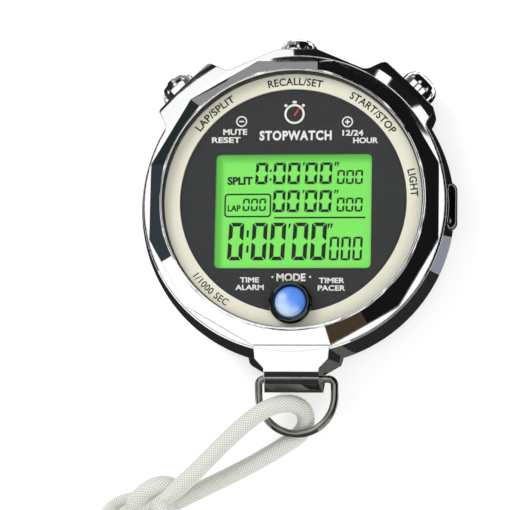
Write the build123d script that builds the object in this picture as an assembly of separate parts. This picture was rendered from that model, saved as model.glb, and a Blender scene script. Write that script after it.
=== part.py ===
from build123d import *
import math
import os

# Chrome-bodied digital sports stopwatch lying on its back, with a wire ring
# and a braided neck cord.  Millimetres.  Origin on the rest plane under the
# centre of the dial, +X towards 3 o'clock, +Y towards 12 o'clock, +Z out of
# the dial.

os.makedirs("parts", exist_ok=True)

# ---- body -------------------------------------------------------------
CASE_R = 32.2            # round wall of the body
CASE_BOTTOM = 0.7        # lower edge of the wall
CASE_TOP = 13.2          # flat top face around the bezel
CAVITY_R = 27.5          # bore that takes the works
SHOULDER_R = 35.1        # end face of the two shoulders, from the centre
SHOULDER_W = 14.9        # width of that end face
SHOULDER_SHIFT = 0.9     # both shoulders sit this far towards the top
SHOULDER_FLARE = 16.0    # spread of the shoulder sides, degrees
BOSS_R = 33.2            # end face of the boss under the top button
BOSS_W = 8.4
BOSS_FLARE = 66.0        # its sides run out into the round wall
BARREL_R = 33.3          # the round wall swells to this below its top edge
LUG_END = 39.5           # end of the cord lug, from the centre
LUG_TOP_END = 35.9       # where the lug's top face stops
LUG_W_END = 12.4         # width of the lug's end, between the ring's legs
LUG_W_TOP = 11.0         # width of its top face at the end
LUG_W_ROOT = 16.4        # width of its top face where it leaves the body
LUG_W_SKIRT = 19.0       # width of its foot where it leaves the body
SHOULDER_ANGLES = {"lap_split": 135.0, "start_stop": 45.0}

# ---- bezel and glass --------------------------------------------------
BEZEL_SIDES = 12
BEZEL_R = 31.5           # corner radius of the twelve-sided foot
BEZEL_LIP_R = 27.9       # where the facets meet the round lip
BEZEL_BORE_R = 27.4
BEZEL_FOOT = 13.75       # top of the short vertical wall
BEZEL_TOP = 17.75
LEDGE_Z = 14.6           # ledge that carries the printed ring
LEDGE_R = 26.45
GASKET_R = 27.1
GLASS_Z = 15.2
GLASS_TOP = 16.45
RING_IN_R = 23.9         # inner edge of the printed ring

# ---- display ----------------------------------------------------------
WINDOW_W = 32.9
WINDOW_H = 24.35
WINDOW_Y = -2.2
DIAL_Z = 14.2
LCD_W = 36.0
LCD_H = 27.2
LCD_T = 1.7
LIGHT_T = 1.1

# ---- front button -----------------------------------------------------
MODE_Y = -21.9
MODE_HOLE_R = 3.95
MODE_CAP_R = 3.3
MODE_TRAVEL = 0.8

# ---- works ------------------------------------------------------------
HOLDER_R = 26.2
BOARD_R = 24.4
BOARD_Z = 8.8
BOARD_T = 1.0
COVER_R = 31.3
COVER_T = 1.5
CELL_R = 10.0
CELL_T = 3.2
CELL_X = -5.0
CELL_Y = 0.0
SCREW_RING_R = 29.8

# ---- side buttons -----------------------------------------------------
BUTTON_Z = 7.2           # height of all side button axes
HEAD_R = 4.05
HEAD_BORE_R = 4.14
HEAD_DEEP = 0.5          # how far the head starts inside its bore
BORE_DEEP = 2.2
STEM_R = 1.5
STEM_BORE_R = 1.55
STEM_TIP = 26.3          # inner end of the stem, from the centre
PRESS = 1.0              # travel of the round side buttons
HEAD_RISE = 3.3          # height of the top button's dome above its face
SIDE_RISE = 4.1          # the same on the two shoulders
LIGHT_L = 10.3
LIGHT_H = 4.9
LIGHT_TOP = 34.0
LIGHT_PRESS = 0.7

# ---- wire ring --------------------------------------------------------
WIRE_R = 0.8
RING_X = 0.6             # the ring sits a little to one side in its hole
RING_Y = -36.7
RING_Z = 7.4
RING_HALF = 8.0
RING_LEG = 3.55
RING_CORNER = 1.3
RING_DROOP = 12.5        # how far the ring hangs below level, degrees

# ---- neck cord --------------------------------------------------------
CORD_R = 1.9
KNOT_X = -31.5
KNOT_Y = -63.2
COIL_X = -33.0
COIL_Y = -98.0
COIL_MEAN_R = 20.9
COIL_ROWS = 3
COIL_LAYERS = 2


def save(name, shapes):
    """Write one node, made of one or more separate solids."""
    if not isinstance(shapes, (list, tuple)):
        shapes = [shapes]
    solids = []
    for shape in shapes:
        solids += list(shape.solids())
    body = solids[0] if len(solids) == 1 else Compound(children=solids)
    export_step(body, f"parts/{name}.step")
    volume = sum(s.volume for s in solids)
    print(f"{name}: {len(solids)} solid(s), {volume:.2f} mm3")


def disc(radius, z0, z1, x=0.0, y=0.0):
    """Upright cylinder between two heights."""
    return Pos(x, y, (z0 + z1) / 2) * Cylinder(radius, z1 - z0)


def block(w, d, z0, z1, x=0.0, y=0.0):
    return Pos(x, y, (z0 + z1) / 2) * Box(w, d, z1 - z0)


def tube(outer, inner, z0, z1, x=0.0, y=0.0):
    return disc(outer, z0, z1, x, y) - disc(inner, z0 - 1, z1 + 1, x, y)


def plate(w, d, corner, z0, z1, x=0.0, y=0.0):
    """Flat plate with rounded corners."""
    return Pos(x, y, z0) * extrude(RectangleRounded(w, d, corner), z1 - z0)


def radial(angle, height=BUTTON_Z):
    """Local +Z of a shape becomes outward at this angle, local X stays level."""
    side = (-math.sin(math.radians(angle)), math.cos(math.radians(angle)), 0)
    out = (math.cos(math.radians(angle)), math.sin(math.radians(angle)), 0)
    return Plane(origin=(0, 0, height), x_dir=side, z_dir=out)


def along(angle, shape, height=BUTTON_Z):
    return radial(angle, height).location * shape


def lathe(points, x=0.0, y=0.0):
    """Turn a closed profile of (radius, z) pairs about the local Z axis."""
    wire = Polyline(*[(r, 0, z) for r, z in points], close=True)
    return Pos(x, y, 0) * revolve(make_face(wire), Axis.Z)


# ---- middle of the body -----------------------------------------------

def wing(face_r, width, flare, angle, shift=0.0):
    """Plan shape of one shoulder: a flat end with sides that spread inwards."""
    inner = 24.0
    spread = (face_r - inner) * math.tan(math.radians(flare))
    half = width / 2
    shape = Polygon(
        (face_r, -half),
        (face_r, half),
        (inner, half + spread),
        (inner, -half - spread),
        align=None,
    )
    return Rot(0, 0, angle) * Pos(0, shift) * shape


def lug():
    """Cord lug: a skirt below, and above it sides that lean in to the top face."""
    end = LUG_W_END / 2
    skirt = LUG_W_SKIRT / 2
    top_end = LUG_W_TOP / 2
    root = LUG_W_ROOT / 2
    neck = 35.2
    low = [
        (-end, -LUG_END),
        (end, -LUG_END),
        (end, -neck),
        (skirt, -33.2),
        (skirt + 1.2, -27.0),
        (-skirt - 1.2, -27.0),
        (-skirt, -33.2),
        (-end, -neck),
    ]
    high = [
        (-top_end, -LUG_END),
        (top_end, -LUG_END),
        (top_end + 0.3, -neck),
        (root - 0.6, -33.2),
        (root, -27.0),
        (-root, -27.0),
        (-root + 0.6, -33.2),
        (-top_end - 0.3, -neck),
    ]
    foot = extrude(Polygon(*low, align=None), 6.6)
    crest_low = Pos(0, 0, 6.6) * Polygon(*low, align=None)
    crest_high = Pos(0, 0, CASE_TOP + 0.2) * Polygon(*high, align=None)
    block_shape = foot + loft([crest_low, crest_high])
    profile = Polyline(
        (0, -26.0, CASE_BOTTOM),
        (0, -31.8, CASE_BOTTOM),
        (0, -33.4, 2.4),
        (0, -37.4, 3.2),
        (0, -38.9, 4.6),
        (0, -LUG_END, 6.8),
        (0, -39.2, 9.0),
        (0, -38.3, 10.9),
        (0, -37.1, 12.3),
        (0, -LUG_TOP_END, CASE_TOP - 0.1),
        (0, -26.0, CASE_TOP - 0.1),
        close=True,
    )
    return block_shape & extrude(make_face(profile), 14.0, both=True)


def body_outline():
    """Plan outline with the inner corners rounded into the round wall."""
    plan = Circle(CASE_R - 0.5)
    for angle in SHOULDER_ANGLES.values():
        shift = math.copysign(SHOULDER_SHIFT, 90.0 - angle)
        plan += wing(SHOULDER_R, SHOULDER_W, SHOULDER_FLARE, angle, shift)
    plan += wing(BOSS_R, BOSS_W, BOSS_FLARE, 90.0)
    face = plan.face()
    concave = []
    outer = []
    for v in face.vertices():
        reach = math.hypot(v.X, v.Y)
        if reach < CASE_R + 0.05:
            concave.append(v)
        elif reach < 37.0:
            outer.append(v)
    face = fillet(concave, 2.6).face()
    outer = []
    for v in face.vertices():
        reach = math.hypot(v.X, v.Y)
        if 35.2 < reach < 37.2 and v.Y > 10:
            outer.append(v)
    return fillet(outer, 1.0).face()


def height_envelope():
    """Side profile: the shoulders fall away outside the round wall."""
    turned = lathe([
        (0, CASE_BOTTOM),
        (31.4, CASE_BOTTOM),
        (CASE_R + 0.1, CASE_BOTTOM + 1.2),
        (34.2, 1.9),
        (35.6, 3.4),
        (37.0, 5.4),
        (37.0, 9.6),
        (36.4, 11.3),
        (35.2, 12.35),
        (33.6, 12.85),
        (31.6, CASE_TOP),
        (0, CASE_TOP),
    ])
    return turned


def barrel():
    """The swell of the round wall, widest a third of the way up."""
    return lathe([
        (0, CASE_BOTTOM),
        (31.4, CASE_BOTTOM),
        (32.5, 1.3),
        (33.1, 2.6),
        (BARREL_R, 4.2),
        (33.2, 6.4),
        (32.9, 8.8),
        (32.5, 11.0),
        (CASE_R, 12.35),
        (CASE_R - 0.1, CASE_TOP - 0.4),
        (CASE_R - 0.35, CASE_TOP - 0.14),
        (CASE_R - 0.65, CASE_TOP - 0.02),
        (CASE_R - 0.9, CASE_TOP),
        (0, CASE_TOP),
    ])


def middle_case():
    body = extrude(body_outline(), CASE_TOP + 2) & height_envelope()
    body += barrel()
    body += lug()
    body -= disc(CAVITY_R, -1, CASE_TOP + 1)
    body -= disc(COVER_R + 0.1, -1, COVER_T)
    body -= tube(28.75, 27.9, 0, COVER_T + 0.55)
    for angle, face_r in ((135.0, SHOULDER_R), (45.0, SHOULDER_R), (90.0, BOSS_R)):
        bore = disc(STEM_BORE_R, 20, 40)
        bore += disc(HEAD_BORE_R, face_r - BORE_DEEP, 42)
        body -= along(angle, bore)
    slot = plate(LIGHT_L + 0.16, LIGHT_H + 0.16, 2.4, 30.2, 36)
    slot += disc(STEM_BORE_R, 20, 36)
    body -= along(0.0, slot)
    body -= Pos(0, RING_Y, RING_Z) * Rot(0, 90, 0) * Cylinder(WIRE_R + 0.08, 40)
    for k in range(6):
        a = math.radians(30 + 60 * k)
        x = SCREW_RING_R * math.cos(a)
        y = SCREW_RING_R * math.sin(a)
        body -= disc(0.8, 0, 5.6, x, y)
    return body


# ---- bezel, glass and dial --------------------------------------------

def bezel():
    """Twelve planar facets rising to a round lip, with a spigot below."""
    foot = extrude(RegularPolygon(BEZEL_R, BEZEL_SIDES, rotation=15), BEZEL_FOOT - CASE_TOP)
    foot = Pos(0, 0, CASE_TOP) * foot
    apothem = BEZEL_R * math.cos(math.pi / BEZEL_SIDES)
    lip_apothem = BEZEL_LIP_R * math.cos(math.pi / BEZEL_SIDES)
    rise = BEZEL_TOP - BEZEL_FOOT
    slope = rise / (apothem - lip_apothem)
    full = Pos(0, 0, BEZEL_FOOT) * RegularPolygon(BEZEL_R, BEZEL_SIDES, rotation=15)
    scaled = BEZEL_R * lip_apothem / apothem
    peak = Pos(0, 0, BEZEL_TOP) * RegularPolygon(scaled, BEZEL_SIDES, rotation=15)
    facets = loft([full, peak]) - disc(BEZEL_LIP_R, BEZEL_FOOT, 30)
    lip = lathe([
        (BEZEL_BORE_R - 0.2, BEZEL_FOOT),
        (BEZEL_LIP_R, BEZEL_FOOT),
        (BEZEL_LIP_R, BEZEL_TOP - 0.75),
        (BEZEL_LIP_R - 0.12, BEZEL_TOP - 0.25),
        (BEZEL_LIP_R - 0.32, BEZEL_TOP),
        (BEZEL_BORE_R - 0.2, BEZEL_TOP),
    ])
    shape = foot + facets + lip
    shape += disc(CAVITY_R - 0.03, 11.6, CASE_TOP)
    shape -= disc(BEZEL_BORE_R, LEDGE_Z, 20)
    shape -= disc(LEDGE_R, 10, 20)
    print(f"bezel facet slope {math.degrees(math.atan(slope)):.1f} degrees")
    return shape


def mode_hole(z0, z1):
    return disc(MODE_HOLE_R, z0, z1, 0, MODE_Y)


def glass_gasket():
    return tube(BEZEL_BORE_R, GASKET_R, LEDGE_Z, GLASS_TOP - 0.05)


def glass():
    shape = disc(GASKET_R, GLASS_Z, GLASS_TOP)
    shape = chamfer(shape.edges().sort_by(Axis.Z)[-1], 0.25)
    return shape - mode_hole(10, 20)


def printed_ring():
    shape = tube(GASKET_R, RING_IN_R, LEDGE_Z, GLASS_Z)
    return shape - mode_hole(10, 20)


def dial_plate():
    shape = disc(LEDGE_R - 0.15, DIAL_Z, LEDGE_Z)
    shape -= plate(WINDOW_W, WINDOW_H, 1.0, DIAL_Z - 1, 20, 0, WINDOW_Y)
    return shape - mode_hole(10, 20)


def display():
    z0 = DIAL_Z - LCD_T
    lower = plate(LCD_W, LCD_H, 0.2, z0, z0 + LCD_T / 2, 0, WINDOW_Y)
    upper = plate(LCD_W, LCD_H - 2.6, 0.2, z0 + LCD_T / 2, DIAL_Z, 0, WINDOW_Y)
    return lower + upper


def backlight():
    z1 = DIAL_Z - LCD_T
    return plate(LCD_W - 2.0, LCD_H - 5.4, 0.4, z1 - LIGHT_T, z1, 0, WINDOW_Y)


def contact_strips():
    z1 = DIAL_Z - LCD_T
    z0 = BOARD_Z + BOARD_T
    offset = LCD_H / 2 - 1.3
    strips = []
    for side in (-1, 1):
        strips.append(block(LCD_W - 3, 1.6, z0, z1, 0, WINDOW_Y + side * offset))
    return strips


# ---- works ------------------------------------------------------------

BOARD_SCREWS = [(-9.0, 19.5), (9.0, 19.5), (-10.0, -20.0), (10.0, -20.0)]
SWITCH_ANGLES = [0.0, 45.0, 90.0, 135.0]


def holder():
    """Moulded frame that stacks display, board and back cover."""
    top = BOARD_Z + BOARD_T
    shape = disc(HOLDER_R, COVER_T, DIAL_Z)
    shape -= disc(BOARD_R + 0.15, 0, top)
    shape -= plate(LCD_W + 0.3, LCD_H + 0.3, 0.3, 5, 20, 0, WINDOW_Y)
    shape -= disc(MODE_HOLE_R, 12.3, 20, 0, MODE_Y)
    shape -= disc(1.68, 5, 20, 0, MODE_Y)
    shape -= block(4.8, 4.8, 5, 10.9, 0, MODE_Y)
    for angle in SWITCH_ANGLES:
        notch = Pos(0, 0, 25) * Box(5.6, 6.4, 10)
        shape -= along(angle, notch, BUTTON_Z - 0.2)
    for x, y in BOARD_SCREWS:
        shape -= disc(0.7, top - 1, top + 3.2, x, y)
    return shape


def board():
    shape = disc(BOARD_R, BOARD_Z, BOARD_Z + BOARD_T)
    for x, y in BOARD_SCREWS:
        shape -= disc(0.75, 0, 20, x, y)
    return shape


def board_screws():
    screws = []
    for x, y in BOARD_SCREWS:
        head = disc(1.35, BOARD_Z - 0.8, BOARD_Z, x, y)
        head -= block(0.35, 2.0, BOARD_Z - 0.9, BOARD_Z - 0.45, x, y)
        head -= block(2.0, 0.35, BOARD_Z - 0.9, BOARD_Z - 0.45, x, y)
        screws.append(head + disc(0.7, BOARD_Z - 0.1, BOARD_Z + 4.0, x, y))
    return screws


def switches():
    """Four side-acting switches under the board and one on top of it."""
    parts = []
    for angle in SWITCH_ANGLES:
        side = Pos(0, 0.1, 22.5) * Box(4.4, 3.0, 3.2)
        side += Pos(0, 0, 24.6) * Cylinder(0.9, 1.2)
        parts.append(along(angle, side))
    z0 = BOARD_Z + BOARD_T
    front = block(4.4, 4.4, z0, z0 + 0.7, 0, MODE_Y)
    front += disc(0.9, z0 + 0.6, z0 + 1.1, 0, MODE_Y)
    parts.append(front)
    return parts


def chip():
    """Potted chip: a low dome of resin under the board."""
    dome = lathe([
        (0, BOARD_Z),
        (4.2, BOARD_Z),
        (3.7, BOARD_Z - 0.8),
        (2.4, BOARD_Z - 1.3),
        (0, BOARD_Z - 1.45),
    ], 10.0, 11.0)
    return dome


def quartz():
    can = Pos(-7.0, 14.4, BOARD_Z - 1.0) * Rot(0, 90, 0) * Cylinder(1.0, 6.0)
    return can


def cell():
    z1 = BOARD_Z - 0.9
    z0 = z1 - CELL_T
    shape = lathe([
        (0, z0),
        (CELL_R - 1.4, z0),
        (CELL_R - 1.2, z0 + 0.25),
        (CELL_R - 0.3, z0 + 0.3),
        (CELL_R, z0 + 0.7),
        (CELL_R, z1),
        (0, z1),
    ], CELL_X, CELL_Y)
    return shape


def cell_cup():
    """Plastic cup soldered under the board that holds the coin cell."""
    z1 = BOARD_Z
    z0 = z1 - 3.6
    shape = tube(CELL_R + 1.1, CELL_R + 0.1, z0, z1, CELL_X, CELL_Y)
    shape += tube(CELL_R + 1.1, 6.0, z1 - 0.6, z1, CELL_X, CELL_Y)
    for side in (-1, 1):
        shape -= block(7.4, 3.0, z0 - 1, z1, CELL_X, CELL_Y + side * (CELL_R + 0.9))
    return shape


def cell_strap():
    """Sprung strap across the underside of the cell."""
    z0 = BOARD_Z - 0.9 - CELL_T
    reach = CELL_R + 0.75
    strap = block(7.0, 2 * reach, z0 - 0.4, z0, CELL_X, CELL_Y)
    for side in (-1, 1):
        y = CELL_Y + side * (reach - 0.2)
        strap += block(7.0, 0.4, z0 - 0.4, BOARD_Z, CELL_X, y)
    return strap


def spring_coil(radius, wire, length, turns):
    """Round-wire compression spring standing on z = 0."""
    pitch = (length - wire) / turns
    path = Pos(0, 0, wire / 2) * Helix(pitch, length - wire, radius)
    start = path @ 0
    section = Plane(origin=start, z_dir=path % 0) * Circle(wire / 2)
    return sweep(section, path, is_frenet=True)


def buzzer():
    return disc(9.0, COVER_T, COVER_T + 0.3, 9.5, -6.5)


def buzzer_springs():
    parts = []
    length = BOARD_Z - COVER_T - 0.3
    for x, y in ((11.5, -8.5), (11.5, -3.0)):
        coil = spring_coil(0.8, 0.3, length, 9)
        parts.append(Pos(x, y, COVER_T + 0.3) * coil)
    return parts


def back_cover():
    shape = disc(COVER_R, 0, COVER_T)
    shape = chamfer(shape.edges().sort_by(Axis.Z)[0], 0.5)
    shape -= tube(24.6, 24.2, -1, 0.2)
    for k in range(6):
        a = math.radians(30 + 60 * k)
        x = SCREW_RING_R * math.cos(a)
        y = SCREW_RING_R * math.sin(a)
        shape -= disc(0.85, -1, 3, x, y)
        shape -= disc(1.25, -1, 0.75, x, y)
    return shape


def back_gasket():
    return tube(28.7, 27.95, COVER_T, COVER_T + 0.5)


def back_screws():
    screws = []
    for k in range(6):
        a = math.radians(30 + 60 * k)
        x = SCREW_RING_R * math.cos(a)
        y = SCREW_RING_R * math.sin(a)
        screw = disc(1.2, 0.1, 0.75, x, y) + disc(0.8, 0.7, 5.2, x, y)
        cross = block(0.35, 1.7, 0, 0.42, x, y) + block(1.7, 0.35, 0, 0.42, x, y)
        screws.append(screw - cross)
    return screws


# ---- side buttons -----------------------------------------------------

def head(face_r, rise):
    """Fluted dome with a stem, built along local +Z from the watch centre."""
    base = face_r - HEAD_DEEP
    top = face_r + rise
    shape = lathe([
        (0, base),
        (HEAD_R, base),
        (HEAD_R, top - 2.55),
        (HEAD_R - 0.25, top - 1.75),
        (HEAD_R - 0.8, top - 0.95),
        (HEAD_R - 1.6, top - 0.4),
        (HEAD_R - 2.6, top - 0.1),
        (0, top),
    ])
    for k in range(12):
        a = math.radians(30 * k)
        flute = Pos(4.35 * math.cos(a), 4.35 * math.sin(a), top - 1.0)
        shape -= flute * Cylinder(0.55, 3.2)
    shape -= tube(3.3, STEM_R, base - 1, base + 1.3)
    stem = disc(STEM_R, STEM_TIP, base + 1.5)
    stem -= tube(3, 1.15, 26.8, 27.22)
    stem -= tube(3, 1.02, 29.2, 29.75)
    return shape + stem


def head_spring(face_r):
    z0 = face_r - BORE_DEEP
    z1 = face_r - HEAD_DEEP + 1.3
    return Pos(0, 0, z0) * spring_coil(2.45, 0.4, z1 - z0, 3.5)


def stem_seal():
    return Pos(0, 0, 29.475) * Torus(1.27, 0.25)


def stem_clip():
    """Open retaining clip in the groove inside the wall."""
    ring = tube(2.3, 1.17, 26.83, 27.19)
    return ring - Pos(2, 0, 27) * Box(4, 1.6, 1)


def light_cap():
    base = 31.5
    shape = plate(LIGHT_L, LIGHT_H, 2.4, base, LIGHT_TOP)
    rim = [e for e in shape.edges() if e.center().Z > LIGHT_TOP - 0.01]
    shape = fillet(rim, 1.6)
    stem = disc(STEM_R, STEM_TIP, base + 0.2)
    shape += stem
    shape -= tube(2.05, STEM_R, base - 0.1, base + 1.0)
    shape -= tube(3, 1.15, 26.8, 27.22)
    shape -= tube(3, 1.02, 28.6, 29.15)
    return shape


def light_spring():
    return Pos(0, 0, 30.2) * spring_coil(1.78, 0.25, 2.3, 4)


# ---- front button -----------------------------------------------------

def mode_collar():
    """Turned eyelet through the glass around the front button."""
    shape = lathe([
        (3.38, 12.3),
        (MODE_HOLE_R - 0.03, 12.3),
        (MODE_HOLE_R - 0.03, GLASS_TOP),
        (4.55, GLASS_TOP),
        (4.52, GLASS_TOP + 0.3),
        (4.4, GLASS_TOP + 0.65),
        (4.18, GLASS_TOP + 0.95),
        (3.9, GLASS_TOP + 1.1),
        (3.62, GLASS_TOP + 1.02),
        (3.45, GLASS_TOP + 0.8),
        (3.38, GLASS_TOP + 0.5),
    ], 0, MODE_Y)
    return shape


def mode_cap():
    shape = lathe([
        (0, 14.2),
        (MODE_CAP_R, 14.2),
        (MODE_CAP_R, 16.7),
        (3.05, 17.15),
        (2.5, 17.6),
        (1.7, 17.95),
        (0.9, 18.12),
        (0, 18.18),
    ], 0, MODE_Y)
    shape -= tube(2.7, 1.6, 13, 15.6, 0, MODE_Y)
    return shape + disc(1.6, 11.75, 15.7, 0, MODE_Y)


def mode_spring():
    return Pos(0, MODE_Y, 12.3) * spring_coil(2.2, 0.35, 3.3, 4.5)


# ---- wire ring --------------------------------------------------------

def ring_path():
    """Closed D in its own plane: bar on top, half circle below."""
    half = RING_HALF
    c = RING_CORNER
    leg = -RING_LEG
    bar = Line((-half + c, 0), (half - c, 0))
    right = RadiusArc((half - c, 0), (half, -c), c)
    down = Line((half, -c), (half, leg))
    bow = ThreePointArc((half, leg), (0, leg - half), (-half, leg))
    up = Line((-half, leg), (-half, -c))
    left = RadiusArc((-half, -c), (-half + c, 0), c)
    return Wire([bar, right, down, bow, up, left])


def wire_ring():
    path = ring_path()
    section = Plane(origin=(0, 0, 0), z_dir=(1, 0, 0)) * Circle(WIRE_R)
    bar = sweep(section, path)
    return Pos(RING_X, RING_Y, RING_Z) * Rot(RING_DROOP, 0, 0) * bar


# ---- neck cord --------------------------------------------------------

# Corners of the straight runs, in order along the cord.
LOOP = [
    (-26.6, -62.9, 2.3),
    (-19.5, -59.3, 1.95),
    (-10.8, -55.1, 1.95),
    (-3.2, -50.7, 1.95),
    (2.3, -46.9, 1.95),
    (2.4, -42.6, 4.8),
    (-1.4, -41.6, 8.4),
    (-6.6, -43.6, 9.2),
    (-13.3, -49.2, 8.3),
    (-19.6, -55.6, 7.1),
    (-26.3, -61.8, 6.3),
]
LEAD_OUT = [
    (-37.5, -65.8, 3.6),
    (-43.2, -69.2, 2.3),
    (-47.8, -73.6, 1.95),
    (-52.2, -81.2, 1.95),
]
LEAD_BACK = [
    (-16.1, -77.8, 5.75),
    (-19.2, -73.2, 5.5),
    (-23.2, -69.4, 5.0),
    (-27.6, -66.6, 4.7),
]


def bend_radii(points):
    radii = []
    for a, b, c in zip(points, points[1:], points[2:]):
        u = Vector(*b) - Vector(*a)
        v = Vector(*c) - Vector(*b)
        turn = math.radians(u.get_angle(v))
        run = min(u.length, v.length)
        radii.append(0.45 * run / math.tan(turn / 2))
    return radii


def cord_run(points, label):
    """Round tube along straight runs joined by tangent arcs."""
    radii = bend_radii(points)
    print(label, "arc radii", [round(r, 1) for r in radii])
    path = FilletPolyline(*points, radius=radii)
    start = path @ 0
    section = Plane(origin=start, z_dir=path % 0) * Circle(CORD_R)
    tube_solid = sweep(section, path)
    expected = math.pi * CORD_R ** 2 * path.length
    ratio = tube_solid.volume / expected
    print(label, f"length {path.length:.1f} mm, volume ratio {ratio:.4f}")
    return tube_solid


def knot():
    """Overhand knot lump where the two sides of the cord are tied together."""
    lump = scale(Sphere(1), by=(9.2, 6.6, 4.8))
    return Pos(KNOT_X, KNOT_Y, 4.85) * Rot(0, 0, 24) * lump


def coil():
    """The put-away length: closed ring of laid turns, flat on the surface."""
    half_w = COIL_ROWS * CORD_R
    height = COIL_LAYERS * CORD_R * 2
    section = RectangleRounded(2 * half_w, height, CORD_R * 0.98)
    face = Plane.XZ * Pos(COIL_MEAN_R, height / 2 + 0.05) * section
    ring = revolve(face, Axis.Z)
    return Pos(COIL_X, COIL_Y, 0) * ring


def tie():
    """Short wrap of cord that holds the turns together."""
    half_w = COIL_ROWS * CORD_R + 0.1
    height = COIL_LAYERS * CORD_R * 2 + 0.1
    outer = RectangleRounded(2 * half_w + 1.6, height + 0.9, 2.4)
    band = extrude(Plane.XZ * outer, 2.2, both=True)
    centre = Pos(COIL_X, COIL_Y, height / 2 + 0.02)
    placed = centre * Rot(0, 0, -68) * Pos(COIL_MEAN_R, 0, 0) * band
    under = block(200, 300, -5, 0.35)
    return placed - coil() - under


if __name__ == "__main__":
    save("middle_case", middle_case())
    save("bezel", bezel())
    save("glass_gasket", glass_gasket())
    save("glass", glass())
    save("printed_ring", printed_ring())
    save("dial_plate", dial_plate())
    save("lcd_panel", display())
    save("lcd_backlight", backlight())
    save("contact_strips", contact_strips())
    save("works_holder", holder())
    save("circuit_board", board())
    save("board_screws", board_screws())
    save("tact_switches", switches())
    save("chip_resin", chip())
    save("quartz_can", quartz())
    save("coin_cell", cell())
    save("cell_cup", cell_cup())
    save("cell_strap", cell_strap())
    save("buzzer_disc", buzzer())
    save("buzzer_springs", buzzer_springs())
    save("back_cover", back_cover())
    save("back_gasket", back_gasket())
    save("back_screws", back_screws())
    round_buttons = {
        "lap_split": (135.0, SHOULDER_R, SIDE_RISE),
        "start_stop": (45.0, SHOULDER_R, SIDE_RISE),
        "recall_set": (90.0, BOSS_R, HEAD_RISE),
    }
    for name, (angle, face_r, rise) in round_buttons.items():
        save(f"{name}_button", along(angle, head(face_r, rise)))
        save(f"{name}_spring", along(angle, head_spring(face_r)))
        save(f"{name}_seal", along(angle, stem_seal()))
        save(f"{name}_clip", along(angle, stem_clip()))
    save("light_button", along(0.0, light_cap()))
    save("light_spring", along(0.0, light_spring()))
    save("light_seal", along(0.0, Pos(0, 0, -0.6) * stem_seal()))
    save("light_clip", along(0.0, stem_clip()))
    save("mode_collar", mode_collar())
    save("mode_button", mode_cap())
    save("mode_spring", mode_spring())
    save("wire_ring", wire_ring())
    save("lanyard_loop", cord_run(LOOP, "loop"))
    save("lanyard_knot", knot())
    leads = [cord_run(LEAD_OUT, "lead out"), cord_run(LEAD_BACK, "lead back")]
    save("lanyard_leads", leads)
    save("lanyard_coil", coil())
    save("lanyard_tie", tie())
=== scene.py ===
import math

import bmesh
import bpy
import numpy as np
from mathutils import Matrix, Vector


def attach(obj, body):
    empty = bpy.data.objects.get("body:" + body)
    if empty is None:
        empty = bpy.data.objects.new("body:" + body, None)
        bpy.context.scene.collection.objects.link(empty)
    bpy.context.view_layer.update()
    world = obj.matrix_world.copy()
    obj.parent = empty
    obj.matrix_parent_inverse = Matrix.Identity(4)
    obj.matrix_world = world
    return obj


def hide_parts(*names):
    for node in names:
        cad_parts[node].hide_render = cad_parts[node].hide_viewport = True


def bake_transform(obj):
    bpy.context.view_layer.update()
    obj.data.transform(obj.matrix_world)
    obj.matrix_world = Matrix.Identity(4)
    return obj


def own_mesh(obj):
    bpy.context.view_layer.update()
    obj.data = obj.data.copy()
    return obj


# Looks of the digital stopwatch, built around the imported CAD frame.  Metres.

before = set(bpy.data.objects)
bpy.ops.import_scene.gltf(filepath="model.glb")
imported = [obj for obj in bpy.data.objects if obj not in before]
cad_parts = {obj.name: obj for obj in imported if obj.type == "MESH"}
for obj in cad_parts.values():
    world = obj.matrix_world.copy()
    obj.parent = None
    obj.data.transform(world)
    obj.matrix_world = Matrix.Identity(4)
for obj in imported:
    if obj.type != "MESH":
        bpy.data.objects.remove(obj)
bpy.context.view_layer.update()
MM = 0.001

CORD_R = 1.9
MODE_Y = -21.9           # centre of the front button
WINDOW_W = 32.9          # opening over the display
WINDOW_H = 24.35
WINDOW_Y = -2.2
LCD_Z = 14.2             # faces of the display, the dial and the cream ring
DIAL_Z = 14.6
RING_Z = 15.2
GLASS_TOP = 16.45
INK_LIFT = 0.004         # printing lies this far above its face


# ---- camera -----------------------------------------------------------

def make_camera():
    data = bpy.data.cameras.new("camera")
    cam = bpy.data.objects.new("camera", data)
    bpy.context.scene.collection.objects.link(cam)
    data.sensor_width = 36.0
    data.lens = 196.2
    data.clip_start = 0.01
    data.clip_end = 20
    eye = Vector((61.1, -117.3, 581.8)) * MM
    target = Vector((-7.75, -11.66, 15.0)) * MM
    back = (eye - target).normalized()
    roll = math.radians(-1.12)
    up = Vector((math.sin(roll), math.cos(roll), 0))
    right = up.cross(back).normalized()
    true_up = back.cross(right)
    turn = Matrix((right, true_up, back)).transposed()
    cam.matrix_world = Matrix.Translation(eye) @ turn.to_4x4()
    bpy.context.scene.camera = cam
    return cam


make_camera()


# ---- materials --------------------------------------------------------

def new_material(name):
    mat = bpy.data.materials.new(name)
    mat.use_nodes = True
    tree = mat.node_tree
    shader = tree.nodes["Principled BSDF"]
    return mat, tree, shader


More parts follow.
